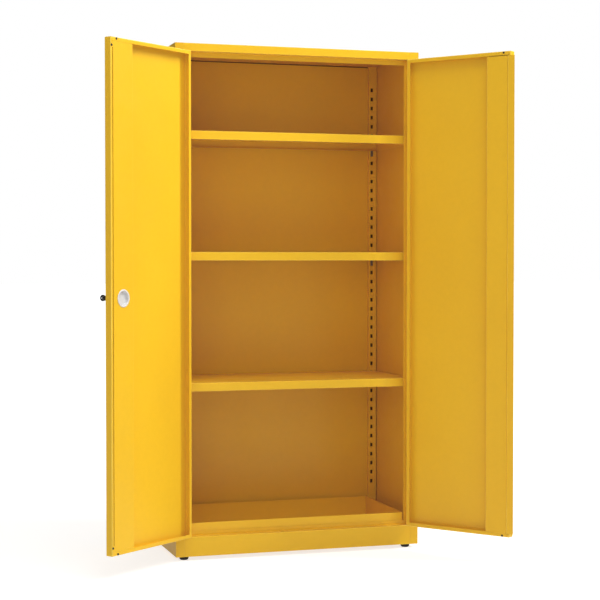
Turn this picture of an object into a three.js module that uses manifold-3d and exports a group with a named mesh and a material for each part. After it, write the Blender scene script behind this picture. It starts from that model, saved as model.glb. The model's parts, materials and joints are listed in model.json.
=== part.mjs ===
// Flammable storage cabinet: a folded sheet-steel carcass on four feet, three lift-out shelves on clips,
// a deep lift-out spill tray, and two hinged doors with a three-point lock on the left one.
// Millimetres. X to the right, Y to the back, Z up. Until the last lines the origin is on the floor,
// midway between the side panels, in the plane of the cabinet's front.
import * as THREE from 'three';
import { mergeVertices } from 'three/addons/utils/BufferGeometryUtils.js';
import loadManifold from 'manifold-3d';

// ---------------------------------------------------------------- driving dimensions
const WIDTH = 915;
const DEPTH = 457;
const HEIGHT = 1830;
const SHEET = 1;
const GAP = 0.3;

const FOOT_HEIGHT = 15;
const FOOT_INSET_X = 36.5;
const FOOT_INSET_Y = 36;
const STUD_R = 5;
const FOOT_NUT_R = 9.8;
const FOOT_NUT_TOP = 22;
const SIDE_FLANGE_WIDTH = 59.5;

const STILE_WIDTH = 30;
const STOP_WIDTH = 14;
const REBATE = 30;
const FASCIA_HEIGHT = 28;
const STOP_RAIL_HEIGHT = 18;
const LEDGE_Z = 85;
const SILL_Z = 100;

const DOOR_THICKNESS = 27;
const DOOR_CLEARANCE = 3;
const HINGE_GAP = 3.1;
const LEFT_DOOR_OPEN_DEG = 141.5;
const RIGHT_DOOR_OPEN_DEG = 128;
const LIP = 13.5;
const FREE_LIP = 8;
const LEFT_STIFFENER_WIDTH = 110;
const RIGHT_STIFFENER_WIDTH = 95;
const OVERLAP_WIDTH = 16;

const LOCK_INSET = 60;
const LOCK_Z = 940;
const LOCK_TRAVEL = 18;
const ROD_R = 4;
const ROD_DEPTH = 14;

const SLOT_PITCH = 36;
const SLOT_COUNT = 44;
const FIRST_SLOT_Z = 189;
const SLOT_WIDTH = 9;
const SLOT_HEIGHT = 14;
const SHELF_SLOTS = [36, 24, 11];
const SHELF_NAMES = ['upper', 'middle', 'lower'];
const SHELF_HEIGHT = 30;

const TRAY_TOP = 129;
const TRAY_BOTTOM = 38.3;
const TRAY_HALF_WIDTH = 410;
const TRAY_FRONT = 33;
const TRAY_BACK = 440;

// ---------------------------------------------------------------- derived dimensions
const HALF = WIDTH / 2;
const OPENING_HALF = HALF - STILE_WIDTH;
const STOP_HALF = OPENING_HALF - STOP_WIDTH;
const SKIN_IN = HALF - SHEET;
const FASCIA_Z = HEIGHT - FASCIA_HEIGHT;
const HEADER_STOP_Z = FASCIA_Z - STOP_RAIL_HEIGHT;
const BACK_Y = DEPTH - SHEET - GAP;
const BACK_IN = BACK_Y - SHEET;
const TOP_UNDER = HEIGHT - SHEET;

const KNUCKLE_R = 5;
const PIVOT_X = OPENING_HALF - HINGE_GAP / 2;
const PIVOT_Y = -(KNUCKLE_R + GAP);
const EDGE_X = HINGE_GAP / 2;
const FACE_Y = -PIVOT_Y;
const DOOR_WIDTH = (2 * OPENING_HALF - 2 * HINGE_GAP - DOOR_CLEARANCE) / 2;
const DOOR_Z = LEDGE_Z + DOOR_CLEARANCE;
const DOOR_HEIGHT = FASCIA_Z - DOOR_CLEARANCE - DOOR_Z;
const FREE_X = EDGE_X + DOOR_WIDTH;
const INNER_Y = FACE_Y + DOOR_THICKNESS;
const LOCK_X = FREE_X - LOCK_INSET;
const LOCK_DOOR_Z = LOCK_Z - DOOR_Z;
const ROD_X = -PIVOT_X + LOCK_X;

const REAR_FACE = 441;
const FRONT_FACE = 46;
const UPRIGHT_IN = 422;
const UPRIGHT_OUT = 455;
const SLOT_X = 434;
const CLIP_STANDOFF = GAP + SHEET;
const CLIP_TAB_TOP = 12;

// ---------------------------------------------------------------- finishes
function finish(color, roughness, metalness) {
  return new THREE.MeshStandardMaterial({ color, roughness, metalness });
}
const yellowPaint = () => finish(0xf2be27, 0.38, 0.0);
const zinc = () => finish(0x9aa09a, 0.4, 0.9);
const chrome = () => finish(0xc9ccd0, 0.15, 1.0);
const blackPlastic = () => finish(0x17181a, 0.5, 0.0);
const blackRubber = () => finish(0x1b1b1d, 0.85, 0.0);
const greyPlastic = () => finish(0xdcdadb, 0.35, 0.0);

// ---------------------------------------------------------------- solids and booleans
const library = await loadManifold();
library.setup();

function toSolid(geometry) {
  const bare = new THREE.BufferGeometry();
  bare.setAttribute('position', geometry.getAttribute('position').clone());
  if (geometry.index) bare.setIndex(geometry.index.clone());
  const welded = mergeVertices(bare, 1e-4);
  const corners = welded.index.array;
  const kept = [];
  for (let i = 0; i < corners.length; i += 3) {
    const [a, b, c] = [corners[i], corners[i + 1], corners[i + 2]];
    if (a !== b && b !== c && c !== a) kept.push(a, b, c);
  }
  const mesh = new library.Mesh({
    numProp: 3,
    vertProperties: new Float32Array(welded.getAttribute('position').array),
    triVerts: new Uint32Array(kept),
  });
  return new library.Manifold(mesh);
}

function toGeometry(solid) {
  const mesh = solid.getMesh();
  const geometry = new THREE.BufferGeometry();
  const positions = new Float32Array(mesh.numVert * 3);
  for (let v = 0; v < mesh.numVert; v += 1) {
    for (let k = 0; k < 3; k += 1) positions[v * 3 + k] = mesh.vertProperties[v * mesh.numProp + k];
  }
  geometry.setAttribute('position', new THREE.BufferAttribute(positions, 3));
  geometry.setIndex(Array.from(mesh.triVerts));
  geometry.computeVertexNormals();
  return geometry;
}

function join(...geometries) {
  const solids = geometries.flat().map(toSolid);
  return toGeometry(solids.reduce((sum, solid) => sum.add(solid)));
}

function cut(base, ...tools) {
  const solids = tools.flat().map(toSolid);
  return toGeometry(solids.reduce((rest, solid) => rest.subtract(solid), toSolid(base)));
}

function mirrored(geometry) {
  const copy = geometry.clone();
  copy.scale(-1, 1, 1);
  const count = copy.getAttribute('position').count;
  const corners = copy.index ? Array.from(copy.index.array) : [...Array(count).keys()];
  for (let i = 0; i < corners.length; i += 3) {
    [corners[i], corners[i + 1]] = [corners[i + 1], corners[i]];
  }
  copy.setIndex(corners);
  copy.computeVertexNormals();
  return copy;
}

function block(x0, x1, y0, y1, z0, z1) {
  const geometry = new THREE.BoxGeometry(x1 - x0, y1 - y0, z1 - z0);
  return geometry.translate((x0 + x1) / 2, (y0 + y1) / 2, (z0 + z1) / 2);
}

function uprightBar(radius, x, y, z0, z1, segments = 18) {
  const geometry = new THREE.CylinderGeometry(radius, radius, z1 - z0, segments);
  return geometry.rotateX(Math.PI / 2).translate(x, y, (z0 + z1) / 2);
}

function crossBar(radius, x, z, y0, y1, segments = 24) {
  const geometry = new THREE.CylinderGeometry(radius, radius, y1 - y0, segments);
  return geometry.translate(x, (y0 + y1) / 2, z);
}

// A turned shape about the Y axis; each profile point is [radius, y].
function turnedAlongY(profile, x, z, segments = 28) {
  const points = profile.map(([radius, y]) => new THREE.Vector2(radius, y));
  return new THREE.LatheGeometry(points, segments).translate(x, 0, z);
}

// The cross-section of a folded sheet: the outer line, and the same line moved in by the sheet's thickness.
// inside is 1 where the sheet's body lies to the left of the line as it is walked, -1 where to the right.
function foldedOutline(line, inside) {
  const normals = line.slice(1).map(([u, v], i) => {
    const [pu, pv] = line[i];
    const length = Math.hypot(u - pu, v - pv);
    return [(-(v - pv) / length) * inside, ((u - pu) / length) * inside];
  });
  const inner = line.map(([u, v], i) => {
    const before = normals[Math.max(i - 1, 0)];
    const after = normals[Math.min(i, normals.length - 1)];
    const mitre = SHEET / (1 + before[0] * after[0] + before[1] * after[1]);
    return [u + (before[0] + after[0]) * mitre, v + (before[1] + after[1]) * mitre];
  });
  const outline = [...line, ...inner.reverse()];
  return new THREE.Shape(outline.map(([u, v]) => new THREE.Vector2(u, v)));
}

// A folded sheet whose line is drawn in plan, X and Y, and which runs up from z0 to z1.
function foldedUp(line, inside, z0, z1) {
  const shape = foldedOutline(line, inside);
  return new THREE.ExtrudeGeometry(shape, { depth: z1 - z0, bevelEnabled: false }).translate(0, 0, z0);
}

// A folded sheet whose line is drawn in side view, Y and Z, and which runs across from x0 to x1.
function foldedAcross(line, inside, x0, x1) {
  const shape = foldedOutline(line, inside);
  const geometry = new THREE.ExtrudeGeometry(shape, { depth: x1 - x0, bevelEnabled: false });
  const turn = new THREE.Matrix4().makeBasis(
    new THREE.Vector3(0, 1, 0),
    new THREE.Vector3(0, 0, 1),
    new THREE.Vector3(1, 0, 0),
  );
  return geometry.applyMatrix4(turn).translate(x0, 0, 0);
}

// ---------------------------------------------------------------- assembly helpers
const cabinet = new THREE.Group();

function addPiece(parent, name, geometry, material) {
  const piece = new THREE.Mesh(geometry, material);
  piece.name = name;
  parent.add(piece);
  return piece;
}

function addPair(parent, name, leftGeometry, material) {
  addPiece(parent, `${name}_left`, leftGeometry, material());
  addPiece(parent, `${name}_right`, mirrored(leftGeometry), material());
}

// ---------------------------------------------------------------- carcass
function sidePanel() {
  const wallFlange = 20;
  const stopLip = 10;
  const footX = -HALF + FOOT_INSET_X;
  const skin = foldedUp([
    [-HALF + wallFlange, DEPTH],
    [-HALF, DEPTH],
    [-HALF, 0],
    [-OPENING_HALF, 0],
    [-OPENING_HALF, REBATE],
    [-STOP_HALF, REBATE],
    [-STOP_HALF, REBATE + stopLip],
  ], 1, FOOT_HEIGHT, HEIGHT);
  const flange = block(
    -HALF + SHEET / 2, -HALF + SIDE_FLANGE_WIDTH,
    FOOT_INSET_Y - 21, DEPTH - SHEET / 2,
    FOOT_HEIGHT, FOOT_HEIGHT + SHEET,
  );
  const footYs = [FOOT_INSET_Y, DEPTH - FOOT_INSET_Y];
  const nutBottom = FOOT_HEIGHT + SHEET / 2;
  const nuts = footYs.map((y) => uprightBar(FOOT_NUT_R, footX, y, nutBottom, FOOT_NUT_TOP, 6));
  const threads = footYs.map((y) => uprightBar(STUD_R + GAP, footX, y, FOOT_HEIGHT - 5, FOOT_NUT_TOP + 5));
  const topSeat = block(
    -SKIN_IN + 0.1, -HALF + SIDE_FLANGE_WIDTH,
    SHEET + 0.1, DEPTH - SHEET - 0.1,
    TOP_UNDER - GAP, HEIGHT + 5,
  );
  return cut(join(skin, flange, nuts), topSeat, threads);
}

function railEnds(z0, z1) {
  const side = block(STOP_HALF - GAP, HALF, REBATE - GAP, REBATE + 20, z0, z1);
  return [side, mirrored(side)];
}

function topPanel() {
  const half = OPENING_HALF - GAP;
  const fascia = foldedAcross([
    [BACK_Y, HEIGHT],
    [0, HEIGHT],
    [0, FASCIA_Z],
    [REBATE, FASCIA_Z],
    [REBATE, HEADER_STOP_Z],
  ], 1, -half, half);
  const sheet = block(-SKIN_IN + GAP, SKIN_IN - GAP, SHEET + GAP, BACK_Y, TOP_UNDER, HEIGHT);
  const rodHole = uprightBar(6.5, ROD_X, ROD_DEPTH, FASCIA_Z - 5, FASCIA_Z + 8);
  return join(cut(fascia, railEnds(HEADER_STOP_Z - 5, TOP_UNDER - 2), rodHole), sheet);
}

function plinth() {
  const half = OPENING_HALF - GAP;
  const rail = foldedAcross([
    [14, FOOT_HEIGHT],
    [0, FOOT_HEIGHT],
    [0, LEDGE_Z],
    [REBATE, LEDGE_Z],
    [REBATE, SILL_Z],
  ], -1, -half, half);
  const rodHole = uprightBar(6.5, ROD_X, ROD_DEPTH, LEDGE_Z - 8, LEDGE_Z + 5);
  return cut(rail, railEnds(LEDGE_Z - 10, SILL_Z + 5), rodHole);
}

function basePanel() {
  const top = TRAY_BOTTOM - GAP;
  const half = SKIN_IN - GAP;
  const front = REBATE + SHEET + GAP;
  const back = BACK_IN - GAP;
  const deck = block(-half, half, front, back, top - 9, top);
  const hollow = block(-half + SHEET, half - SHEET, front + SHEET, back - SHEET, top - 20, top - SHEET);
  return cut(deck, hollow, stileNotches(top - 20, top + 5));
}

// The two corners that a sheet as wide as the carcass leaves for the folded lips of the stiles.
function stileNotches(z0, z1) {
  const notch = block(STOP_HALF - GAP, STOP_HALF + SHEET + GAP, REBATE - 5, REBATE + 10 + GAP, z0, z1);
  return [notch, mirrored(notch)];
}

function backPanel() {
  return block(-SKIN_IN + GAP, SKIN_IN - GAP, BACK_IN, BACK_Y, FOOT_HEIGHT + SHEET + GAP, TOP_UNDER - GAP);
}

function spillTray() {
  const outer = block(-TRAY_HALF_WIDTH, TRAY_HALF_WIDTH, TRAY_FRONT, TRAY_BACK, TRAY_BOTTOM, TRAY_TOP);
  const inner = block(
    -TRAY_HALF_WIDTH + SHEET, TRAY_HALF_WIDTH - SHEET,
    TRAY_FRONT + SHEET, TRAY_BACK - SHEET,
    TRAY_BOTTOM + SHEET, TRAY_TOP + 5,
  );
  return cut(outer, inner);
}

// ---------------------------------------------------------------- slotted uprights, clips and shelves
function slotZ(index) {
  return FIRST_SLOT_Z + index * SLOT_PITCH;
}

// A left-hand slotted upright: faceY is its slotted face, legEndY where its two legs end.
function upright(faceY, legEndY) {
  const inside = legEndY > faceY ? -1 : 1;
  const bottom = TRAY_BOTTOM;
  const top = TOP_UNDER - GAP;
  const channel = foldedUp([
    [-UPRIGHT_IN, legEndY],
    [-UPRIGHT_IN, faceY],
    [-UPRIGHT_OUT, faceY],
    [-UPRIGHT_OUT, legEndY],
  ], inside, bottom, top);
  const slots = Array.from({ length: SLOT_COUNT }, (_, i) => block(
    -SLOT_X - SLOT_WIDTH / 2, -SLOT_X + SLOT_WIDTH / 2,
    faceY - 2 * SHEET, faceY + 2 * SHEET,
    slotZ(i) - SLOT_HEIGHT / 2, slotZ(i) + SLOT_HEIGHT / 2,
  ));
  return cut(channel, slots);
}

// A clip drawn about its slot's centre on the upright's face, with +Y pointing away from that face.
function shelfClip() {
  const half = 5;
  const tongue = 3.9;
  const plate = block(-half, half, GAP, CLIP_STANDOFF, -9, CLIP_TAB_TOP);
  const tab = block(-half, half, GAP, 15, CLIP_TAB_TOP - SHEET, CLIP_TAB_TOP);
  const neck = block(-tongue, tongue, -3.4, 1, -6.4, -3);
  const hook = block(-tongue, tongue, -3.4, -1.8, -14, -3);
  const key = block(-tongue, tongue, -3.4, 1, 3, 6.4);
  return join(plate, tab, neck, hook, key);
}

function shelf() {
  const half = SKIN_IN - 4;
  const front = FRONT_FACE + CLIP_STANDOFF + GAP;
  const back = REAR_FACE - CLIP_STANDOFF - GAP;
  const body = block(-half, half, front, back, 0, SHELF_HEIGHT);
  const hollow = block(
    -half + SHEET, half - SHEET,
    front + SHEET, back - SHEET,
    SHEET, SHELF_HEIGHT - SHEET,
  );
  const mouth = block(-half + SHEET, half - SHEET, front + 14, back - 14, -5, SHEET + 1);
  return cut(body, hollow, mouth);
}

function addShelves() {
  const corners = [
    ['front_left', -SLOT_X, FRONT_FACE, 0],
    ['front_right', SLOT_X, FRONT_FACE, 0],
    ['rear_left', -SLOT_X, REAR_FACE, Math.PI],
    ['rear_right', SLOT_X, REAR_FACE, Math.PI],
  ];
  SHELF_SLOTS.forEach((slot, i) => {
    corners.forEach(([corner, x, y, turn]) => {
      const clip = addPiece(cabinet, `shelf_clip_${SHELF_NAMES[i]}_${corner}`, shelfClip(), zinc());
      clip.position.set(x, y, slotZ(slot));
      clip.rotation.z = turn;
    });
    const deck = addPiece(cabinet, `shelf_${SHELF_NAMES[i]}`, shelf(), yellowPaint());
    deck.position.z = slotZ(slot) + CLIP_TAB_TOP + GAP;
  });
}

// ---------------------------------------------------------------- feet
function levellingFoot() {
  const profile = [
    [0, 0], [11.5, 0], [15, 3], [16.5, 7], [16.5, 11.5], [13, FOOT_HEIGHT - 2 * GAP],
    [STUD_R, FOOT_HEIGHT - 2 * GAP], [STUD_R, 26], [STUD_R - 1, 27], [0, 27],
  ];
  const points = profile.map(([radius, z]) => new THREE.Vector2(radius, z));
  return new THREE.LatheGeometry(points, 18).rotateX(Math.PI / 2);
}

function addFeet() {
  const x = HALF - FOOT_INSET_X;
  const places = {
    front_left: [-x, FOOT_INSET_Y],
    front_right: [x, FOOT_INSET_Y],
    rear_left: [-x, DEPTH - FOOT_INSET_Y],
    rear_right: [x, DEPTH - FOOT_INSET_Y],
  };
  for (const [place, [footX, footY]] of Object.entries(places)) {
    const foot = addPiece(cabinet, `levelling_foot_${place}`, levellingFoot(), blackPlastic());
    foot.position.set(footX, footY, 0);
  }
}

// ---------------------------------------------------------------- hinges
const HINGE_HEIGHT = 70;
const KNUCKLE_SPLIT = [21, 49];
const PIN_R = 2.5;
const HINGE_ZS = { upper: DOOR_HEIGHT - 230 - HINGE_HEIGHT, lower: 230 };

// One leaf of a left-hand hinge about its pin: a frame leaf holds the two end knuckles, a door leaf the
// middle one.
function hingeLeaf(onDoor) {
  const [low, high] = KNUCKLE_SPLIT;
  const inner = GAP / 2 + 0.05;
  const outer = EDGE_X - GAP;
  const plate = onDoor
    ? block(inner, outer, 0, 26, 0, HINGE_HEIGHT)
    : block(-outer, -inner, 0, 26, 0, HINGE_HEIGHT);
  const spans = onDoor ? [[low + GAP, high - GAP]] : [[0, low], [high, HINGE_HEIGHT]];
  const gaps = onDoor ? [[-1, low + GAP], [high - GAP, HINGE_HEIGHT + 1]] : [[low, high]];
  const knuckles = spans.map(([z0, z1]) => uprightBar(KNUCKLE_R, 0, 0, z0, z1));
  const clearances = gaps.map(([z0, z1]) => uprightBar(KNUCKLE_R + GAP, 0, 0, z0, z1));
  const bore = uprightBar(PIN_R + GAP, 0, 0, -5, HINGE_HEIGHT + 5);
  return cut(join(cut(plate, clearances), knuckles), bore);
}

function hingePin() {
  const shaft = uprightBar(PIN_R, 0, 0, -1.5, HINGE_HEIGHT + 1);
  const head = uprightBar(KNUCKLE_R - 0.8, 0, 0, HINGE_HEIGHT + GAP, HINGE_HEIGHT + 3);
  return join(shaft, head);
}

function addHinges(side, door) {
  const sign = side === 'left' ? -1 : 1;
  const handed = (geometry) => (side === 'left' ? geometry : mirrored(geometry));
  for (const [level, z] of Object.entries(HINGE_ZS)) {
    const frameLeafName = `hinge_frame_leaf_${side}_${level}`;
    const frameLeaf = addPiece(cabinet, frameLeafName, handed(hingeLeaf(false)), yellowPaint());
    frameLeaf.position.set(sign * PIVOT_X, PIVOT_Y, DOOR_Z + z);
    const pin = addPiece(cabinet, `hinge_pin_${side}_${level}`, hingePin(), zinc());
    pin.position.copy(frameLeaf.position);
    const doorLeafName = `hinge_door_leaf_${side}_${level}`;
    const doorLeaf = addPiece(door, doorLeafName, handed(hingeLeaf(true)), yellowPaint());
    doorLeaf.position.set(0, 0, z);
  }
}

// ---------------------------------------------------------------- doors
// Doors are drawn closed and left-handed about their hinge axis, with Z = 0 at their bottom edge:
// X runs from the hinge to the free edge and Y from the outer skin into the cabinet.
const BUFFER_STEM_R = 2;
const BUFFER_EDGE = 5;
const BUFFER_INSET = 28;
const GROOVE_WIDTH = 3;
const GROOVE_END = 35;
const CAP_HOLE_R = 26;

function bufferPlaces(side) {
  const places = {
    top: [FREE_X - BUFFER_INSET, DOOR_HEIGHT - BUFFER_EDGE],
    bottom: [FREE_X - BUFFER_INSET, BUFFER_EDGE],
  };
  if (side === 'left') {
    places.edge_top = [FREE_X - FREE_LIP / 2, DOOR_HEIGHT - BUFFER_INSET];
    places.edge_bottom = [FREE_X - FREE_LIP / 2, BUFFER_INSET];
  }
  return places;
}

function doorSkin(side) {
  const body = block(EDGE_X, FREE_X, FACE_Y, INNER_Y, 0, DOOR_HEIGHT);
  const hollow = block(
    EDGE_X + SHEET, FREE_X - SHEET,
    FACE_Y + SHEET, INNER_Y - SHEET,
    SHEET, DOOR_HEIGHT - SHEET,
  );
  const mouth = block(EDGE_X + LIP, FREE_X - FREE_LIP, INNER_Y - 3, INNER_Y + 3, LIP, DOOR_HEIGHT - LIP);
  const bufferHoles = Object.values(bufferPlaces(side)).map(([x, z]) => (
    crossBar(BUFFER_STEM_R + GAP, x, z, INNER_Y - 4, INNER_Y + 4, 12)
  ));
  const lockHoles = [
    uprightBar(ROD_R + 0.6, LOCK_X, FACE_Y + ROD_DEPTH, -5, DOOR_HEIGHT + 5),
    crossBar(8.6, LOCK_X, LOCK_DOOR_Z, FACE_Y - 5, FACE_Y + 5),
  ];
  return cut(body, hollow, mouth, bufferHoles, side === 'left' ? lockHoles : []);
}

// The left stiffener: a channel that closes the door's free-edge side and carries the lock's rods inside.
function leftStiffener() {
  const start = FREE_X - LEFT_STIFFENER_WIDTH;
  const end = FREE_X - FREE_LIP - GAP;
  const legX = end - 5 - SHEET;
  const low = LIP + GAP;
  const high = DOOR_HEIGHT - LIP - GAP;
  const groove = block(
    end - GROOVE_WIDTH, end + GROOVE_WIDTH,
    INNER_Y - 3, INNER_Y + 3,
    GROOVE_END, DOOR_HEIGHT - GROOVE_END,
  );
  const face = cut(block(start, end, INNER_Y - SHEET, INNER_Y, low, high), groove);
  const innerLeg = block(start, start + SHEET, FACE_Y + SHEET + GAP, INNER_Y, low, high);
  const edgeLeg = block(legX, legX + SHEET, FACE_Y + SHEET + GAP, INNER_Y, low, high);
  const capHole = crossBar(CAP_HOLE_R, LOCK_X, LOCK_DOOR_Z, INNER_Y - 5, INNER_Y + 5, 32);
  return cut(join(face, innerLeg, edgeLeg), capHole);
}

// The right stiffener: the same channel, with a raised edge that reaches behind the left door.
function rightStiffener() {
  const start = FREE_X - RIGHT_STIFFENER_WIDTH;
  const raised = FACE_Y + REBATE + SHEET;
  const low = LIP + GAP;
  const high = DOOR_HEIGHT - LIP - GAP - 2.2;
  const face = foldedUp([
    [start, FACE_Y + SHEET + GAP],
    [start, INNER_Y],
    [FREE_X - 13, INNER_Y],
    [FREE_X - 10, raised],
    [FREE_X + OVERLAP_WIDTH, raised],
  ], -1, low, high);
  const legX = FREE_X - 20;
  const edgeLeg = block(legX, legX + SHEET, FACE_Y + SHEET + GAP, INNER_Y - 0.2, low, high);
  return join(face, edgeLeg);
}

function doorBuffer(x, z) {
  const profile = [
    [0, INNER_Y - 4], [BUFFER_STEM_R, INNER_Y - 4], [BUFFER_STEM_R, INNER_Y + GAP],
    [3.8, INNER_Y + GAP], [3.8, INNER_Y + 1.6], [2.6, INNER_Y + 2.6], [0, INNER_Y + 2.7],
  ];
  return turnedAlongY(profile, x, z, 12);
}

function addDoor(side) {
  const sign = side === 'left' ? -1 : 1;
  const openDeg = side === 'left' ? LEFT_DOOR_OPEN_DEG : RIGHT_DOOR_OPEN_DEG;
  const door = new THREE.Group();
  door.position.set(sign * PIVOT_X, PIVOT_Y, DOOR_Z);
  door.rotation.z = sign * THREE.MathUtils.degToRad(openDeg);
  cabinet.add(door);
  const handed = (geometry) => (side === 'left' ? geometry : mirrored(geometry));
  const stiffener = side === 'left' ? leftStiffener() : rightStiffener();
  addPiece(door, `door_skin_${side}`, handed(doorSkin(side)), yellowPaint());
  addPiece(door, `door_stiffener_${side}`, handed(stiffener), yellowPaint());
  for (const [place, [x, z]] of Object.entries(bufferPlaces(side))) {
    addPiece(door, `door_buffer_${side}_${place}`, handed(doorBuffer(x, z)), blackRubber());
  }
  addHinges(side, door);
  return door;
}

// ---------------------------------------------------------------- lock, on the left door
// Lock pieces are drawn about the lock's axis: X towards the door's free edge, Z up, and Y by depth(),
// which counts from the door's outer face into the cabinet.
const PIN_ORBIT = LOCK_TRAVEL / Math.SQRT2;
const CAM_PIN_R = 2.7;
const CAM_R = 17;
const SPINDLE_HALF = 4.2;
const ARM_LENGTH = 54;
const ARM_HEIGHT = 16;
const ARM_FRONT = 46;
const ARM_BACK = 33;
const BARREL_R = 6;
const BARREL_FRONT = ARM_FRONT + 1;
const BARREL_BACK = 14.4;
const KEY_BOW_R = 11;
const KEY_BOW_DEPTH = 63.5;

function depth(distance) {
  return FACE_Y + distance;
}

function escutcheon() {
  const bore = 8.6;
  const rim = 25;
  return turnedAlongY([
    [bore, depth(-GAP)], [bore, depth(-4.3)], [rim - 3, depth(-4.3)],
    [rim, depth(-2.6)], [rim, depth(-GAP)], [bore, depth(-GAP)],
  ], 0, 0);
}

// A bar with round ends and bevelled edges, along X, from Z = 0 to its thickness.
function roundedBar(length, height, thickness, bevel) {
  const r = height / 2 - bevel;
  const reach = length / 2 - height / 2;
  const shape = new THREE.Shape();
  shape.absarc(reach, 0, r, -Math.PI / 2, Math.PI / 2, false);
  shape.absarc(-reach, 0, r, Math.PI / 2, Math.PI * 1.5, false);
  shape.closePath();
  return new THREE.ExtrudeGeometry(shape, {
    depth: thickness - 2 * bevel,
    bevelEnabled: true,
    bevelThickness: bevel,
    bevelSize: bevel,
    bevelSegments: 2,
    curveSegments: 6,
  }).translate(0, 0, bevel);
}

function tHandle() {
  const stemR = 8;
  const collarR = 12.5;
  const arm = roundedBar(ARM_LENGTH, ARM_HEIGHT, ARM_FRONT - ARM_BACK, 3)
    .rotateX(Math.PI / 2)
    .translate(0, depth(-ARM_BACK), 0);
  const stem = turnedAlongY([
    [0, depth(-ARM_BACK - 4)], [stemR, depth(-ARM_BACK - 4)], [stemR + 1, depth(-13)], [collarR, depth(-8)],
    [collarR, depth(-4.6)], [stemR, depth(-4.6)], [stemR, depth(6)], [0, depth(6)],
  ], 0, 0, 24);
  const spindle = block(-SPINDLE_HALF, SPINDLE_HALF, depth(5), depth(10), -SPINDLE_HALF, SPINDLE_HALF);
  const bore = crossBar(BARREL_R + GAP, 0, 0, depth(-ARM_FRONT - 5), depth(-BARREL_BACK + 0.4));
  return cut(join(arm, stem, spindle), bore);
}

function lockCylinder() {
  const barrel = crossBar(BARREL_R, 0, 0, depth(-BARREL_FRONT), depth(-BARREL_BACK));
  const keyway = block(-1.4, 1.4, depth(-BARREL_FRONT - 5), depth(-BARREL_BACK - 6), -4.3, 4.3);
  return cut(barrel, keyway);
}

// The key stands upright in the lock: a flat blade in the keyway and a thicker round bow outside it.
function lockKey() {
  const bladeBack = BARREL_BACK + 6.4;
  const blade = block(-1.1, 1.1, depth(-KEY_BOW_DEPTH + 6), depth(-bladeBack), -4, 4);
  const shape = new THREE.Shape();
  shape.absarc(0, 0, KEY_BOW_R - 1, 0, 2 * Math.PI, false);
  const ringHole = new THREE.Path();
  ringHole.absarc(4.5, 0, 3.5, 0, 2 * Math.PI, true);
  shape.holes.push(ringHole);
  const bow = new THREE.ExtrudeGeometry(shape, {
    depth: 3,
    bevelEnabled: true,
    bevelThickness: 1,
    bevelSize: 1,
    bevelSegments: 1,
    curveSegments: 10,
  }).translate(0, 0, -1.5);
  const turn = new THREE.Matrix4().makeBasis(
    new THREE.Vector3(0, -1, 0),
    new THREE.Vector3(0, 0, 1),
    new THREE.Vector3(-1, 0, 0),
  );
  bow.applyMatrix4(turn).translate(0, depth(-KEY_BOW_DEPTH), 0);
  return join(blade, bow);
}

// The cam sits on the handle's square spindle; its two pins each drive one rod.
function lockCam() {
  const reach = PIN_ORBIT * Math.SQRT1_2;
  const disc = crossBar(CAM_R, 0, 0, depth(6.3), depth(9.3));
  const pins = [1, -1].map((sign) => (
    crossBar(CAM_PIN_R, sign * reach, -sign * reach, depth(9), depth(16.4), 16)
  ));
  const hole = SPINDLE_HALF + GAP;
  const square = block(-hole, hole, depth(5), depth(12), -hole, hole);
  return cut(join(disc, pins), square);
}

// A lock rod that points up from the lock's axis: the cam's pin runs along the level slot in its yoke and
// so lifts it. Turned half a turn about the axis, it is the rod that points down.
function lockRod(length) {
  const reach = PIN_ORBIT * Math.SQRT1_2;
  const slotHalf = CAM_PIN_R + 0.6;
  const yokeEnd = 19;
  const yokeTop = 36;
  const tipLength = 4;
  const yokeBack = depth(ROD_DEPTH + 1.5);
  const yokePlate = (x0, z0) => block(x0, yokeEnd, yokeBack - 3, yokeBack, z0, yokeTop);
  const slot = block(
    reach - slotHalf, PIN_ORBIT + slotHalf,
    depth(5), depth(20),
    -reach - slotHalf, -reach + slotHalf,
  );
  const rod = uprightBar(ROD_R, 0, depth(ROD_DEPTH), yokeTop - 8, length - tipLength);
  const tip = new THREE.CylinderGeometry(ROD_R - 1.5, ROD_R, tipLength, 18)
    .rotateX(Math.PI / 2)
    .translate(0, depth(ROD_DEPTH), length - tipLength / 2);
  return join(cut(join(yokePlate(3, -16), yokePlate(-ROD_R, 24)), slot), rod, tip);
}

// The dished cover over the lock's opening in the stiffener.
function lockInnerCap() {
  const face = DOOR_THICKNESS;
  const plug = CAP_HOLE_R - 0.4;
  return turnedAlongY([
    [0, depth(18.2)], [20, depth(18.2)], [plug, depth(21)], [plug, depth(face + GAP)],
    [29.5, depth(face + GAP)], [30, depth(face + 0.8)], [29.2, depth(face + 1.9)],
    [26.5, depth(face + 2.4)], [23.6, depth(face + 1.2)], [22.6, depth(face - 2)],
    [20.5, depth(21.2)], [13, depth(19.8)], [0, depth(19.4)],
  ], 0, 0, 32);
}

function addLock(door) {
  const upperLength = DOOR_HEIGHT - GAP - LOCK_DOOR_Z;
  const lowerLength = LOCK_DOOR_Z - GAP;
  const pieces = [
    ['lock_escutcheon', escutcheon(), chrome()],
    ['lock_t_handle', tHandle(), blackPlastic()],
    ['lock_cylinder', lockCylinder(), chrome()],
    ['lock_key', lockKey(), blackPlastic()],
    ['lock_cam', lockCam(), zinc()],
    ['lock_rod_upper', lockRod(upperLength), zinc()],
    ['lock_rod_lower', lockRod(lowerLength).rotateY(Math.PI), zinc()],
    ['lock_inner_cap', lockInnerCap(), greyPlastic()],
  ];
  for (const [name, geometry, material] of pieces) {
    addPiece(door, name, geometry, material).position.set(LOCK_X, 0, LOCK_DOOR_Z);
  }
}

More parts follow.
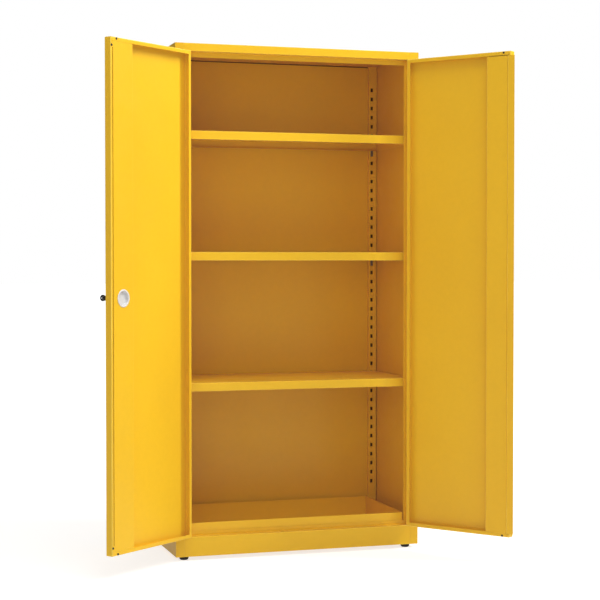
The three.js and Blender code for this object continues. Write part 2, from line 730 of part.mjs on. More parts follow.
// ---------------------------------------------------------------- the cabinet
addPair(cabinet, 'side_panel', sidePanel(), yellowPaint);
addPiece(cabinet, 'back_panel', backPanel(), yellowPaint());
addPiece(cabinet, 'top_panel', topPanel(), yellowPaint());
addPiece(cabinet, 'plinth', plinth(), yellowPaint());
addPiece(cabinet, 'base_panel', basePanel(), yellowPaint());
addPiece(cabinet, 'spill_tray', spillTray(), yellowPaint());
addPair(cabinet, 'upright_front', upright(FRONT_FACE, REBATE + SHEET + GAP), yellowPaint);
addPair(cabinet, 'upright_rear', upright(REAR_FACE, BACK_IN - GAP), yellowPaint);
addShelves();
addFeet();
addLock(addDoor('left'));
addDoor('right');

// The origin moves to the middle of the whole object's base, with the doors open as they stand.
cabinet.updateMatrixWorld(true);
const bounds = new THREE.Box3().setFromObject(cabinet, true);
const part = new THREE.Group();
cabinet.position.set(-(bounds.min.x + bounds.max.x) / 2, -(bounds.min.y + bounds.max.y) / 2, -bounds.min.z);
part.add(cabinet);

export default part;
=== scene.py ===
import json
import math

import bmesh
import bpy
from mathutils import Matrix, Vector

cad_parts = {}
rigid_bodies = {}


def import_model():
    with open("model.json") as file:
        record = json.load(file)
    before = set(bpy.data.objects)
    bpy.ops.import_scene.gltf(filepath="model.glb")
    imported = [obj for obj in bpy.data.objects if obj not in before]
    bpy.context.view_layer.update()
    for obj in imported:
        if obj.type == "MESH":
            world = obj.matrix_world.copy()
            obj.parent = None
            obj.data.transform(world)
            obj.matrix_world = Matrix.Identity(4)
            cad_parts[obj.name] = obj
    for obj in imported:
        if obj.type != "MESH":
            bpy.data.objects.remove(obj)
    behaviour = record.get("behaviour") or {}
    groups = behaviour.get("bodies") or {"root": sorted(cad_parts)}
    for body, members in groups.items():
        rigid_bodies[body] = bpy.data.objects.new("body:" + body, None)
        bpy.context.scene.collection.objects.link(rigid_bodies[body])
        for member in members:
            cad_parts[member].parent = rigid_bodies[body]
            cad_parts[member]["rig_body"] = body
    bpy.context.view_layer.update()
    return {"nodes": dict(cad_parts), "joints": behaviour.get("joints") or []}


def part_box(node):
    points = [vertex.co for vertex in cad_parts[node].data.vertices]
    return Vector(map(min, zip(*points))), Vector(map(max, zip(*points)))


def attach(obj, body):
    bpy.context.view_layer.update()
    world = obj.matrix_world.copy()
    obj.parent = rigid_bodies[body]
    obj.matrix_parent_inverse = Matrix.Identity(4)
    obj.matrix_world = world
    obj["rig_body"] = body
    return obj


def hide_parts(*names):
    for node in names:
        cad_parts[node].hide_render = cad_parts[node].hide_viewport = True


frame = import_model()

# The cabinet's own origin: on the floor, midway between the side panels, in the plane of its front.
LEFT_SIDE, RIGHT_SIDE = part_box("side_panel_left"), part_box("side_panel_right")
CABINET = Vector(((LEFT_SIDE[0].x + RIGHT_SIDE[1].x) / 2, LEFT_SIDE[0].y, 0.0))

# ---------------------------------------------------------------- camera
CAMERA_FROM_CABINET = Vector((-1.63465, -5.28990, 1.06960))
CAMERA_YAW = math.radians(-17.18)
CAMERA_PITCH = math.radians(1.52)
CAMERA_LENS_MM = 92.12
SENSOR_MM = 36.0


def add_camera():
    data = bpy.data.cameras.new("camera")
    data.lens = CAMERA_LENS_MM
    data.sensor_width = SENSOR_MM
    camera = bpy.data.objects.new("camera", data)
    camera.location = CABINET + CAMERA_FROM_CABINET
    camera.rotation_euler = (math.pi / 2 - CAMERA_PITCH, 0.0, CAMERA_YAW)
    bpy.context.scene.collection.objects.link(camera)
    bpy.context.scene.camera = camera


# ---------------------------------------------------------------- shader helpers
class Shader:
    """A material's node tree, with one short call per node."""

    def __init__(self, name):
        self.material = bpy.data.materials.new(name)
        self.material.use_nodes = True
        self.tree = self.material.node_tree
        self.surface = self.tree.nodes["Principled BSDF"]
        coordinates = self.tree.nodes.new("ShaderNodeTexCoord")
        self.place = coordinates.outputs["Object"]

    def node(self, kind, **settings):
        made = self.tree.nodes.new(kind)
        for key, value in settings.items():
            setattr(made, key, value)
        return made

    def feed(self, value, socket):
        if isinstance(value, bpy.types.NodeSocket):
            self.tree.links.new(value, socket)
        elif value is not None:
            socket.default_value = value

    def noise(self, scale, detail=2.0, roughness=0.5, distortion=0.0):
        made = self.node("ShaderNodeTexNoise")
        self.tree.links.new(self.place, made.inputs["Vector"])
        made.inputs["Scale"].default_value = scale
        made.inputs["Detail"].default_value = detail
        made.inputs["Roughness"].default_value = roughness
        made.inputs["Distortion"].default_value = distortion
        return made.outputs["Fac"]

    def between(self, value, low, high, to_low=0.0, to_high=1.0, smooth=False):
        made = self.node("ShaderNodeMapRange")
        if smooth:
            made.interpolation_type = "SMOOTHSTEP"
        self.feed(value, made.inputs["Value"])
        made.inputs["From Min"].default_value = low
        made.inputs["From Max"].default_value = high
        made.inputs["To Min"].default_value = to_low
        made.inputs["To Max"].default_value = to_high
        return made.outputs["Result"]

    def math(self, operation, a, b=None):
        made = self.node("ShaderNodeMath", operation=operation)
        self.feed(a, made.inputs[0])
        self.feed(b, made.inputs[1])
        return made.outputs["Value"]

    def mix(self, factor, a, b):
        made = self.node("ShaderNodeMix", data_type="RGBA")
        self.feed(factor, made.inputs["Factor"])
        for value, name in ((a, "A"), (b, "B")):
            socket = [s for s in made.inputs if s.name == name and s.type == "RGBA"][0]
            self.feed(value if not isinstance(value, tuple) else (*value, 1.0), socket)
        return [s for s in made.outputs if s.type == "RGBA"][0]

    def bump(self, height, strength, distance, normal=None):
        made = self.node("ShaderNodeBump")
        made.inputs["Strength"].default_value = strength
        made.inputs["Distance"].default_value = distance
        self.tree.links.new(height, made.inputs["Height"])
        if normal is not None:
            self.tree.links.new(normal, made.inputs["Normal"])
        return made.outputs["Normal"]

    def edges(self, radius):
        """1 along the sharp edges, 0 on the flats."""
        soft = self.node("ShaderNodeBevel", samples=4)
        soft.inputs["Radius"].default_value = radius
        flat = self.node("ShaderNodeNewGeometry")
        made = self.node("ShaderNodeVectorMath", operation="DOT_PRODUCT")
        self.tree.links.new(soft.outputs["Normal"], made.inputs[0])
        self.tree.links.new(flat.outputs["Normal"], made.inputs[1])
        return self.between(made.outputs["Value"], 0.99, 0.75)

    def painted(self, name):
        """A mark that the mesh carries, from 0 to 1."""
        return self.node("ShaderNodeAttribute", attribute_name=name).outputs["Fac"]

    def axes(self):
        made = self.node("ShaderNodeSeparateXYZ")
        self.tree.links.new(self.place, made.inputs["Vector"])
        return made.outputs


# ---------------------------------------------------------------- paints
PAINT_LIGHT = (0.835, 0.500, 0.009)
PAINT_DEEP = (0.805, 0.468, 0.008)
SHELF_LIGHT = (0.865, 0.515, 0.010)
# The paler outer folds: thinner paint there, and a painted highlight along the folds.
PALE_FOLD_AND_HIGHLIGHT = (0.95, 0.69, 0.09)
# Painted shade behind the slotted rear uprights and in the seam above the back panel.
CHANNEL_SHADE = (0.17, 0.10, 0.035)
ZINC_GREY = (0.24, 0.24, 0.22)
CHROME_GREY = (0.72, 0.73, 0.74)
MOULDED_BLACK = (0.008, 0.008, 0.009)
RUBBER_BLACK = (0.016, 0.016, 0.017)
CAP_GREY = (0.74, 0.72, 0.71)
DISH_GREY = (0.66, 0.65, 0.65)

SATIN = 0.34  # the paint's roughness
# The radius of the edge mask: edge wear, and a painted highlight along the sharp edges.
EDGE_WEAR_AND_HIGHLIGHT = 0.0016
SPECK_SCALE = 300.0

# A faint violet that the paint gives off, which lifts the blue of its shadows.
SHADE_TINT = (0.35, 0.20, 1.0)
SHADE_LIFT = 0.012

# Where shade is painted, behind the slotted rear uprights and in the seam above the back panel: (low,
# high) to each side of the middle, back from the front, and up.
CHANNEL_SIDES = (0.4226, 0.4553)
CHANNEL_DEPTHS = (0.4415, 0.4551)
CHANNEL_HEIGHTS = (0.0450, 1.8280)
SEAM_DEPTHS = (0.4540, 0.4551)
SEAM_HEIGHTS = (1.8250, 1.8300)


def channel_shade_mask(s):
    """Painted shade: 1 behind the slotted rear uprights and in the seam above the back panel, 0 elsewhere.
    """
    place = s.axes()
    side = s.math("ABSOLUTE", s.math("SUBTRACT", place["X"], CABINET.x))
    depth = s.math("SUBTRACT", place["Y"], CABINET.y)

    def within(*ranges):
        inside = 1.0
        for value, (low, high) in ranges:
            inside = s.math("MULTIPLY", inside, s.math("GREATER_THAN", value, low))
            inside = s.math("MULTIPLY", inside, s.math("LESS_THAN", value, high))
        return inside

    channel = within((side, CHANNEL_SIDES), (depth, CHANNEL_DEPTHS), (place["Z"], CHANNEL_HEIGHTS))
    seam = within((depth, SEAM_DEPTHS), (place["Z"], SEAM_HEIGHTS))
    return s.math("MAXIMUM", channel, seam)


def powder_coat(name, light, deep, shade_cavities=False):
    """Satin powder coat: drifting tone, edge wear with a painted highlight along the sharp edges, paler
    folds that are thinner paint and a painted highlight, optional painted shade in the closed channels,
    soft scuffs and orange peel.
    """
    s = Shader(name)
    s.surface.inputs["Emission Color"].default_value = (*SHADE_TINT, 1.0)
    s.surface.inputs["Emission Strength"].default_value = SHADE_LIFT
    drift = s.between(s.noise(2.2, 2.0, 0.5), 0.3, 0.7)
    mottle = s.between(s.noise(55.0, 3.0, 0.6), 0.35, 0.65)
    colour = s.mix(drift, light, deep)
    colour = s.mix(s.math("MULTIPLY", mottle, 0.09), colour, tuple(c * 0.8 for c in deep))
    scuffs = s.between(s.noise(9.0, 6.0, 0.7, distortion=0.4), 0.66, 0.74)
    # Sharp edges lightened towards a brighter tone of the paint: edge wear, and a painted highlight along
    # them.
    edge = s.edges(EDGE_WEAR_AND_HIGHLIGHT)
    wear_and_highlight = s.math("MULTIPLY", edge, s.between(s.noise(38.0, 4.0, 0.65), 0.42, 0.6))
    highlight_tone = tuple(min(1.0, c * 1.25 + 0.02) for c in light)
    colour = s.mix(s.math("MULTIPLY", wear_and_highlight, 0.35), colour, highlight_tone)
    patches = s.between(s.noise(3.0, 4.0, 0.6), 0.35, 0.6, 0.25, 0.7)
    # Paler outer folds in patches: thinner paint, and a painted highlight along the folds.
    thin_paint_and_highlight = s.math("MULTIPLY", s.painted("fold"), patches)
    colour = s.mix(thin_paint_and_highlight, colour, PALE_FOLD_AND_HIGHLIGHT)
    if shade_cavities:
        # Painted shade: dark paint and no violet glow behind the slotted uprights and in the seam above
        # the back panel.
        painted_shade = channel_shade_mask(s)
        colour = s.mix(painted_shade, colour, CHANNEL_SHADE)
        s.feed(s.between(painted_shade, 0.0, 1.0, SHADE_LIFT, 0.0), s.surface.inputs["Emission Strength"])
    s.feed(colour, s.surface.inputs["Base Color"])
    rough = s.between(s.noise(14.0, 4.0, 0.6), 0.3, 0.7, SATIN - 0.04, SATIN + 0.07)
    rough = s.math("ADD", rough, s.math("MULTIPLY", scuffs, 0.10))
    s.feed(rough, s.surface.inputs["Roughness"])
    s.surface.inputs["Specular IOR Level"].default_value = 0.30
    sheet = s.bump(s.noise(3.1, 1.0, 0.4), 0.5, 0.0012)
    peel = s.bump(s.noise(380.0, 2.0, 0.5), 0.20, 0.0002, sheet)
    s.feed(peel, s.surface.inputs["Normal"])
    return s.material


def simple(name, colour, roughness, metallic=0.0, bump=0.2):
    """A plain finish with a fine speck in its colour, gloss and relief."""
    s = Shader(name)
    speck = s.between(s.noise(SPECK_SCALE, 3.0, 0.6), 0.3, 0.7)
    dark = tuple(c * 0.8 for c in colour)
    s.feed(s.mix(speck, colour, dark), s.surface.inputs["Base Color"])
    s.feed(s.between(speck, 0.0, 1.0, roughness - 0.06, roughness + 0.06), s.surface.inputs["Roughness"])
    s.surface.inputs["Metallic"].default_value = metallic
    s.feed(s.bump(s.noise(SPECK_SCALE, 2.0, 0.5), bump, 0.0001), s.surface.inputs["Normal"])
    return s.material


dish_plastic = simple("dish_plastic", DISH_GREY, 0.22)
MATERIALS = {
    "carcass_paint": powder_coat("carcass_paint", PAINT_LIGHT, PAINT_DEEP, shade_cavities=True),
    "door_paint": powder_coat("door_paint", PAINT_LIGHT, PAINT_DEEP),
    "shelf_paint": powder_coat("shelf_paint", SHELF_LIGHT, PAINT_LIGHT),
    "zinc_plate": simple("zinc_plate", ZINC_GREY, 0.45, 0.85),
    "chrome_trim": simple("chrome_trim", CHROME_GREY, 0.16, 1.0, bump=0.03),
    "black_plastic": simple("black_plastic", MOULDED_BLACK, 0.46),
    "black_rubber": simple("black_rubber", RUBBER_BLACK, 0.8),
    "grey_plastic": simple("grey_plastic", CAP_GREY, 0.35),
}


WELD_DISTANCE = 1e-5
FOLD_ANGLE = math.radians(35)
SOFT_EDGE = 0.0003


def soften(obj):
    """Small round edges on a piece that keeps its CAD shape."""
    mesh = obj.data
    if "custom_normal" in mesh.attributes:
        mesh.attributes.remove(mesh.attributes["custom_normal"])
    for polygon in mesh.polygons:
        polygon.use_smooth = True
    weld = obj.modifiers.new("weld", "WELD")
    weld.merge_threshold = WELD_DISTANCE
    flat = obj.modifiers.new("flat", "DECIMATE")
    flat.decimate_type = "DISSOLVE"
    flat.angle_limit = math.radians(0.5)
    fold = obj.modifiers.new("fold", "BEVEL")
    fold.width = SOFT_EDGE
    fold.segments = 2
    fold.limit_method = "ANGLE"
    fold.angle_limit = FOLD_ANGLE
    fold.harden_normals = True
    fold.use_clamp_overlap = True


# ---------------------------------------------------------------- finishes of the nodes
SLOT_OF = {
    "shelf_clip": "zinc_plate", "hinge_pin": "zinc_plate",
    "lock_cam": "zinc_plate", "lock_rod": "zinc_plate",
    "lock_escutcheon": "chrome_trim", "lock_cylinder": "chrome_trim",
    "lock_t_handle": "black_plastic", "lock_key": "black_plastic", "levelling_foot": "black_plastic",
    "door_buffer": "black_rubber", "lock_inner_cap": "grey_plastic",
    "door_": "door_paint", "hinge_door": "door_paint",
    "shelf_": "shelf_paint", "spill_tray": "shelf_paint",
}


def slot_of(node):
    """The finish of the first start in SLOT_OF that fits the node's name, or the carcass paint."""
    for start, slot in SLOT_OF.items():
        if node.startswith(start):
            return slot
    return "carcass_paint"


def body_of(node):
    return frame["nodes"][node]["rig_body"]


def finish_piece(obj, node):
    """The piece stands for the node: it rides on its body and takes its finish."""
    bpy.context.scene.collection.objects.link(obj)
    if not obj.data.materials:
        obj.data.materials.append(MATERIALS[slot_of(node)])
    for polygon in obj.data.polygons:
        polygon.use_smooth = True
    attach(obj, body_of(node))
    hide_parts(node)
    return obj


# ---------------------------------------------------------------- folded sheet pieces
SHEET = 0.001
OUTER_FOLD = 0.0026
INNER_FOLD = OUTER_FOLD - SHEET
RIM = 0.0002
SHORTEST_FOLD = 4 * OUTER_FOLD
NARROWEST_FLAT = 1.7 * SHEET


def mean_width(face):
    return 2.0 * face.calc_area() / face.calc_perimeter()


def is_fold(edge, convex):
    """A sharp edge between two flats, and not the sheet's own cut edge."""
    return (
        len(edge.link_faces) == 2
        and edge.calc_face_angle(0.0) > FOLD_ANGLE
        and edge.is_convex == convex
        and min(mean_width(f) for f in edge.link_faces) > NARROWEST_FLAT
        and edge.calc_length() > SHORTEST_FOLD
    )


def folded(node):
    """The sheet piece with round folds: a wide arc outside each fold and a tighter one inside it."""
    bm = bmesh.new()
    bm.from_mesh(frame["nodes"][node].data)
    bmesh.ops.remove_doubles(bm, verts=bm.verts, dist=WELD_DISTANCE)
    bmesh.ops.dissolve_limit(bm, angle_limit=math.radians(0.8), verts=bm.verts, edges=bm.edges)
    # The outer folds are marked for the paler paint, which is also a painted highlight along them.
    mark = bm.faces.layers.float.new("fold")
    for convex, width, segments in ((True, OUTER_FOLD, 4), (False, INNER_FOLD, 3)):
        folds = [edge for edge in bm.edges if is_fold(edge, convex)]
        if not folds:
            continue
        made = bmesh.ops.bevel(
            bm, geom=folds, offset=width, segments=segments, profile=0.5,
            affect="EDGES", clamp_overlap=True,
        )
        for face in made["faces"]:
            face[mark] = float(convex)
    bmesh.ops.remove_doubles(bm, verts=bm.verts, dist=2e-6)
    mesh = bpy.data.meshes.new(node + "_sheet")
    bm.to_mesh(mesh)
    bm.free()
    obj = finish_piece(bpy.data.objects.new(node + "_sheet", mesh), node)
    rim = obj.modifiers.new("rim", "BEVEL")
    rim.width = RIM
    rim.segments = 1
    rim.limit_method = "ANGLE"
    rim.angle_limit = math.radians(50)
    rim.use_clamp_overlap = True
    even = obj.modifiers.new("even", "WEIGHTED_NORMAL")
    even.keep_sharp = True
    even.weight = 80


def nodes_named(*starts):
    return [node for node in frame["nodes"] if node.startswith(starts)]


for node in nodes_named(
    "back_panel", "side_panel", "top_panel", "plinth", "base_panel", "spill_tray", "upright",
    "shelf_upper", "shelf_middle", "shelf_lower", "door_skin", "door_stiffener",
):
    folded(node)

# The back panel is welded along the top sheet, with no slit of light between them.
back_top, under_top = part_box("back_panel")[1].z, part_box("top_panel")[1].z - SHEET
for vertex in bpy.data.objects["back_panel_sheet"].data.vertices:
    if vertex.co.z > back_top - 10 * WELD_DISTANCE:
        vertex.co.z = under_top


# ---------------------------------------------------------------- turned and moulded pieces
ON_AXIS = 1e-7


def lathe(bm, profile, segments, place, flutes=None):
    """A closed turned shape about local Z; profile points are (radius, height) from end to end."""
    rings = []
    for radius, height in profile:
        if radius < ON_AXIS:
            rings.append([bm.verts.new(place @ Vector((0.0, 0.0, height)))])
            continue
        ring = []
        for i in range(segments):
            turn = 2.0 * math.pi * i / segments
            r = radius * (flutes(turn, height) if flutes else 1.0)
            ring.append(bm.verts.new(place @ Vector((r * math.cos(turn), r * math.sin(turn), height))))
        rings.append(ring)
    for low, high in zip(rings, rings[1:]):
        for i in range(segments):
            j = (i + 1) % segments
            if len(low) == 1:
                bm.faces.new((low[0], high[j], high[i]))
            elif len(high) == 1:
                bm.faces.new((low[i], low[j], high[0]))
            else:
                bm.faces.new((low[i], low[j], high[j], high[i]))


def skin(bm, rings):
    """Quads between each ring of vertices and the next."""
    for low, high in zip(rings, rings[1:]):
        for i in range(len(low)):
            j = (i + 1) % len(low)
            bm.faces.new((low[i], low[j], high[j], high[i]))


def quarter(steps):
    """The angles from 0 to a quarter turn."""
    return [math.pi / 2 * k / steps for k in range(steps + 1)]


def rounded(points, radius, steps=4):
    """The profile with its inner corners rounded, by as much as its short sides allow."""
    out = [points[0]]
    for before, corner, after in zip(points, points[1:], points[2:]):
        a, c, b = Vector(before), Vector(corner), Vector(after)
        reach = min(radius, (a - c).length * 0.45, (b - c).length * 0.45)
        start, end = c + (a - c).normalized() * reach, c + (b - c).normalized() * reach
        for k in range(steps + 1):
            t = k / steps
            out.append(tuple(start.lerp(c, t).lerp(c.lerp(end, t), t)))
    out.append(points[-1])
    return out


def to_object(bm, name, materials=()):
    bmesh.ops.recalc_face_normals(bm, faces=bm.faces)
    mesh = bpy.data.meshes.new(name)
    bm.to_mesh(mesh)
    bm.free()
    for material in materials:
        mesh.materials.append(material)
    return bpy.data.objects.new(name, mesh)


def facing(direction, place):
    """A matrix whose local Z looks along direction, with local X level where it can be."""
    z = Vector(direction).normalized()
    up = Vector((0.0, 0.0, 1.0)) if abs(z.z) < 0.9 else Vector((0.0, 1.0, 0.0))
    x = up.cross(z).normalized()
    y = z.cross(x)
    turn = Matrix((x, y, z)).transposed().to_4x4()
    return Matrix.Translation(place) @ turn


def near_end(node, direction):
    """The middle of the end of the node that direction points away from."""
    points = [v.co for v in frame["nodes"][node].data.vertices]
    lowest = min(p.dot(direction) for p in points)
    end = [p for p in points if p.dot(direction) < lowest + WELD_DISTANCE]
    return sum(end, Vector()) / len(end)


def turned(node, ending, profile, segments, place, flutes=None):
    """A turned piece stands for the node."""
    bm = bmesh.new()
    lathe(bm, profile, segments, place, flutes)
    finish_piece(to_object(bm, f"{node}_{ending}"), node)


JOINTS = {joint["name"]: joint for joint in frame["joints"]}
OUTWARD = Vector(JOINTS["key_turn"]["axis"]).normalized()
RIGHT_TURN = math.radians(-JOINTS["right_door_swing"]["range_deg"][0])
RIGHT_INWARD = Vector((-math.sin(RIGHT_TURN), math.cos(RIGHT_TURN), 0.0))

# The lock's own frames: origin on its axis at the door's face, Z out of the door or into the cabinet.
JOINT_TO_FACE = 0.020
LOCK_FACE = Vector(JOINTS["key_turn"]["pos_m"]) - OUTWARD * JOINT_TO_FACE
LOCK = facing(OUTWARD, LOCK_FACE)
CAP = facing(-OUTWARD, LOCK_FACE)

FLUTES = 16
FLUTE_DEPTH = 0.035
GRIP_LOW, GRIP_HIGH = 0.004, 0.0128


def fluted(turn, height):
    """The foot's radius as a share of its profile's: less in the grip's flutes."""
    if not GRIP_LOW < height < GRIP_HIGH:
        return 1.0
    return 1.0 - FLUTE_DEPTH * max(0.0, math.cos(turn * FLUTES)) ** 4


def foot(node):
    """A fluted moulded pad on a plain stud."""
    low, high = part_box(node)
    top = high.z - low.z
    profile = rounded([
        (0.0, 0.0), (0.0128, 0.0), (0.0152, 0.0022), (0.0165, 0.0055), (0.0165, 0.0118),
        (0.0136, 0.0143), (0.0050, 0.0143), (0.0050, top - 0.0008), (0.0042, top), (0.0, top),
    ], 0.0012)
    place = Matrix.Translation(((low.x + high.x) / 2, (low.y + high.y) / 2, low.z))
    turned(node, "moulded", profile, 96, place, fluted)


def buffer(node):
    """A rubber stud with a domed head, from the door's inner face towards the cabinet."""
    inward = -OUTWARD if "left" in node else RIGHT_INWARD
    length = 0.0067
    profile = rounded([
        (0.0, 0.0), (0.0020, 0.0), (0.0020, 0.0043), (0.0038, 0.0043), (0.0038, 0.0056),
        (0.0030, 0.0064), (0.0016, length), (0.0, length),
    ], 0.0005)
    turned(node, "stud", profile, 40, facing(inward, near_end(node, inward)))


def escutcheon():
    """A stepped ring on the door's face, whose profile closes on itself."""
    bm = bmesh.new()
    lathe(bm, rounded([
        (0.0086, 0.0003), (0.0250, 0.0003), (0.0250, 0.0022), (0.0238, 0.0034), (0.0215, 0.0043),
        (0.0140, 0.0043), (0.0132, 0.0037), (0.0092, 0.0037), (0.0086, 0.0031), (0.0086, 0.0003),
    ], 0.0007), 96, LOCK)
    bmesh.ops.remove_doubles(bm, verts=bm.verts, dist=1e-6)
    finish_piece(to_object(bm, "lock_escutcheon_plate"), "lock_escutcheon")


def t_handle():
    """A bar with round ends on a waisted stem."""
    half, height, back, front = 0.0270, 0.0160, 0.0330, 0.0460
    bevel, end_steps = 0.0034, 14
    centre = half - height / 2
    turns = quarter(5)
    levels = [(back + bevel * (1 - math.sin(t)), -bevel * (1 - math.cos(t))) for t in reversed(turns)]
    levels += [(front - bevel * (1 - math.sin(t)), -bevel * (1 - math.cos(t))) for t in turns]
    bm = bmesh.new()
    rings = []
    for z, inset in levels:
        radius = height / 2 + inset
        ring = []
        for side in (1, -1):
            for k in range(end_steps + 1):
                turn = -math.pi / 2 + math.pi * k / end_steps
                x = side * (centre + radius * math.cos(turn))
                y = side * radius * math.sin(turn)
                ring.append(bm.verts.new(LOCK @ Vector((x, y, z))))
        rings.append(ring)
    skin(bm, rings)
    bm.faces.new(list(reversed(rings[0])))
    bm.faces.new(rings[-1])
    lathe(bm, rounded([
        (0.0, -0.0060), (0.0080, -0.0060), (0.0080, 0.0046), (0.0125, 0.0046), (0.0125, 0.0078),
        (0.0094, 0.0130), (0.0084, 0.0250), (0.0098, 0.0345), (0.0, 0.0345),
    ], 0.0014), 64, LOCK)
    finish_piece(to_object(bm, "lock_t_handle_moulded"), "lock_t_handle")


def cylinder():
    """A polished barrel that stands just proud of the handle."""
    turned("lock_cylinder", "barrel", rounded([
        (0.0, 0.0150), (0.0060, 0.0150), (0.0060, 0.0470), (0.0, 0.0470),
    ], 0.0006), 64, LOCK)


def key():
    """A plain blade and a thick moulded bow with a hole for a ring."""
    bow_r, hole_r, hole_at, centre = 0.0110, 0.0034, 0.0045, 0.0635
    half, bevel, hole_bevel, count = 0.0025, 0.0011, 0.0006, 48
    blade_size, blade_at = (0.0020, 0.0078, 0.0350), 0.0385
    bm = bmesh.new()

    def ring(radius, at, y):
        made = []
        for i in range(count):
            turn = 2 * math.pi * i / count
            spot = Vector((y, radius * math.sin(turn), centre + at + radius * math.cos(turn)))
            made.append(bm.verts.new(LOCK @ spot))
        return made

    def rim(side, turns):
        """The bow's round outer edge towards one of its faces."""
        return [ring(bow_r - bevel + bevel * math.sin(t), 0.0, side * (half - bevel + bevel * math.cos(t)))
                for t in turns]

    turns = quarter(4)
    outer = rim(-1, turns) + rim(1, reversed(turns))
    hole = [
        ring(hole_r + hole_bevel, hole_at, half), ring(hole_r, hole_at, half - hole_bevel),
        ring(hole_r, hole_at, -half + hole_bevel), ring(hole_r + hole_bevel, hole_at, -half),
    ]
    skin(bm, outer + hole + outer[:1])
    blade = bmesh.ops.create_cube(bm, size=1.0)["verts"]
    shape = Matrix.Translation((0.0, 0.0, blade_at)) @ Matrix.Diagonal((*blade_size, 1.0))
    bmesh.ops.transform(bm, matrix=LOCK @ shape, verts=blade)
    edges = {edge for vertex in blade for edge in vertex.link_edges}
    bmesh.ops.bevel(bm, geom=list(edges), offset=0.0004, segments=2, profile=0.5, affect="EDGES")
    finish_piece(to_object(bm, "lock_key_moulded"), "lock_key")


def inner_cap():
    """A pale rim round a darker dished centre; heights run from the door's outer face into the cabinet."""
    inner = 0.027
    dish_radius, dish_floor = 0.0229, 0.0190
    bm = bmesh.new()
    lathe(bm, rounded([
        (0.0, 0.0182), (0.0200, 0.0182), (0.0256, 0.0210), (0.0256, inner + 0.0003),
        (0.0296, inner + 0.0003), (0.0300, inner + 0.0009), (0.0286, inner + 0.0020),
        (0.0262, inner + 0.0024), (0.0238, inner + 0.0014), (0.0228, inner - 0.0022),
        (0.0205, 0.0214), (0.0130, 0.0200), (0.0, 0.0196),
    ], 0.0012), 96, CAP)
    bm.normal_update()
    to_cap = CAP.inverted()
    for face in bm.faces:
        spot = to_cap @ face.calc_center_median()
        if math.hypot(spot.x, spot.y) < dish_radius and spot.z > dish_floor:
            face.material_index = 1
    finishes = [MATERIALS["grey_plastic"], dish_plastic]
    finish_piece(to_object(bm, "lock_inner_cap_moulded", finishes), "lock_inner_cap")


for node in nodes_named("levelling_foot"):
    foot(node)
for node in nodes_named("door_buffer"):
    buffer(node)
escutcheon()
t_handle()
cylinder()
key()
inner_cap()

# ---------------------------------------------------------------- the remaining nodes keep their CAD shape
for node, obj in frame["nodes"].items():
    obj.data.materials.clear()
    obj.data.materials.append(MATERIALS[slot_of(node)])
    if not obj.hide_render:
        soften(obj)


# ---------------------------------------------------------------- studio
FLOOR_LIGHT = (0.60, 0.60, 0.60)
FLOOR_DARK = (0.57, 0.57, 0.57)
FLOOR_GLOW = 0.70
FLOOR_BOUNCE = 0.45
WORLD_HORIZON, WORLD_TOP, WORLD_BACK = 0.11, 0.58, 0.26
LAMP_AIM = Vector((0.0, 0.0, 1.0))
# The softboxes: name, azimuth, elevation, distance, width, height, power and colour.
SOFTBOXES = (
    ("key", 69, 45, 4.6, 0.9, 2.4, 192, (0.98, 1.0, 0.98)),
    ("overhead", 4, 54, 4.8, 2.6, 2.0, 66, (1.0, 1.0, 0.98)),
    ("fill", -52, 20, 4.6, 2.2, 2.2, 8, (1.0, 0.97, 0.92)),
    ("front", -20, 12, 5.6, 2.6, 2.6, 38, (1.0, 0.99, 0.97)),
    ("rear", 172, 32, 4.8, 2.6, 2.6, 52, (1.0, 0.97, 0.93)),
)


def add_floor():
    """A pale floor that glows white away from the object, with less of that glow as light on it."""
    half = 60.0
    corners = [(-half, -half, 0), (half, -half, 0), (half, half, 0), (-half, half, 0)]
    mesh = bpy.data.meshes.new("floor")
    mesh.from_pydata(corners, [], [(0, 1, 2, 3)])
    floor = bpy.data.objects.new("floor", mesh)
    bpy.context.scene.collection.objects.link(floor)
    s = Shader("floor")
    speck = s.noise(6.0, 3.0)
    s.feed(s.mix(speck, FLOOR_LIGHT, FLOOR_DARK), s.surface.inputs["Base Color"])
    s.surface.inputs["Roughness"].default_value = 0.9
    s.surface.inputs["Specular IOR Level"].default_value = 0.1
    distance = s.node("ShaderNodeVectorMath", operation="LENGTH")
    s.tree.links.new(s.place, distance.inputs[0])
    glow = s.between(distance.outputs["Value"], 1.2, 5.0, FLOOR_GLOW, 1.0, smooth=True)
    s.surface.inputs["Emission Color"].default_value = (1.0, 1.0, 1.0, 1.0)
    seen = s.node("ShaderNodeLightPath").outputs["Is Camera Ray"]
    share = s.between(seen, 0.0, 1.0, FLOOR_BOUNCE, 1.0)
    s.feed(s.math("MULTIPLY", glow, share), s.surface.inputs["Emission Strength"])
    mesh.materials.append(s.material)


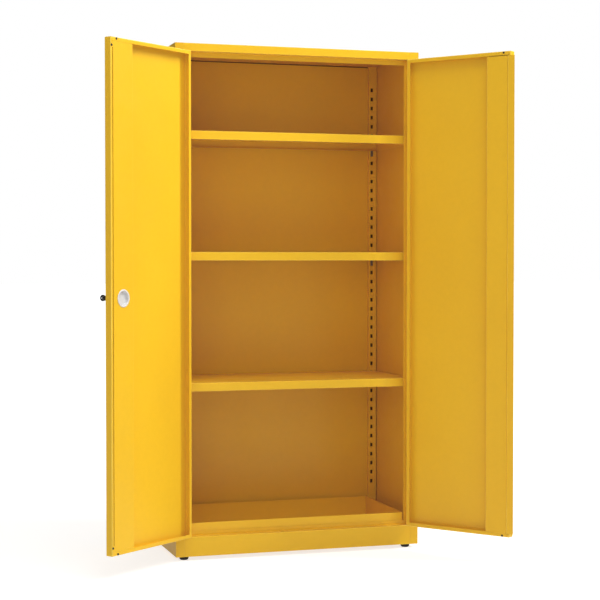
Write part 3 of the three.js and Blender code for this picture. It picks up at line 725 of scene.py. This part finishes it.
def add_world():
    """Bright above and in front, dimmer behind and along the horizon; plain white to the camera."""
    world = bpy.data.worlds.new("studio")
    bpy.context.scene.world = world
    world.use_nodes = True
    tree = world.node_tree
    lit = tree.nodes["Background"]
    lit.inputs["Color"].default_value = (1, 1, 1, 1)
    seen = tree.nodes.new("ShaderNodeBackground")
    seen.inputs["Color"].default_value = (1, 1, 1, 1)
    coordinates = tree.nodes.new("ShaderNodeTexCoord")
    split = tree.nodes.new("ShaderNodeSeparateXYZ")
    tree.links.new(coordinates.outputs["Generated"], split.inputs["Vector"])

    def ramp(socket, low, high, to_low, to_high):
        made = tree.nodes.new("ShaderNodeMapRange")
        made.interpolation_type = "SMOOTHSTEP"
        tree.links.new(socket, made.inputs["Value"])
        for name, value in zip(("From Min", "From Max", "To Min", "To Max"), (low, high, to_low, to_high)):
            made.inputs[name].default_value = value
        return made.outputs["Result"]

    rise = ramp(split.outputs["Z"], 0.0, 0.8, WORLD_HORIZON, WORLD_TOP)
    depth = ramp(split.outputs["Y"], -0.3, 0.6, 1.0, WORLD_BACK)
    product = tree.nodes.new("ShaderNodeMath")
    product.operation = "MULTIPLY"
    tree.links.new(rise, product.inputs[0])
    tree.links.new(depth, product.inputs[1])
    tree.links.new(product.outputs["Value"], lit.inputs["Strength"])
    path = tree.nodes.new("ShaderNodeLightPath")
    mix = tree.nodes.new("ShaderNodeMixShader")
    tree.links.new(path.outputs["Is Camera Ray"], mix.inputs["Fac"])
    tree.links.new(lit.outputs["Background"], mix.inputs[1])
    tree.links.new(seen.outputs["Background"], mix.inputs[2])
    tree.links.new(mix.outputs["Shader"], tree.nodes["World Output"].inputs["Surface"])


def add_softbox(name, azimuth, elevation, distance, width, height, power, colour):
    """A softbox that looks at the cabinet's middle. Azimuth counts from the front towards the right."""
    data = bpy.data.lights.new(name, "AREA")
    data.shape = "RECTANGLE"
    data.size = width
    data.size_y = height
    data.energy = power
    data.color = colour
    lamp = bpy.data.objects.new(name, data)
    turn, lift = math.radians(azimuth), math.radians(elevation)
    away = Vector((math.sin(turn) * math.cos(lift), -math.cos(turn) * math.cos(lift), math.sin(lift)))
    lamp.location = CABINET + LAMP_AIM + away * distance
    lamp.rotation_euler = (-away).to_track_quat("-Z", "Y").to_euler()
    bpy.context.scene.collection.objects.link(lamp)


add_camera()
add_floor()
add_world()
for softbox in SOFTBOXES:
    add_softbox(*softbox)
bpy.context.scene.view_settings.view_transform = "Standard"
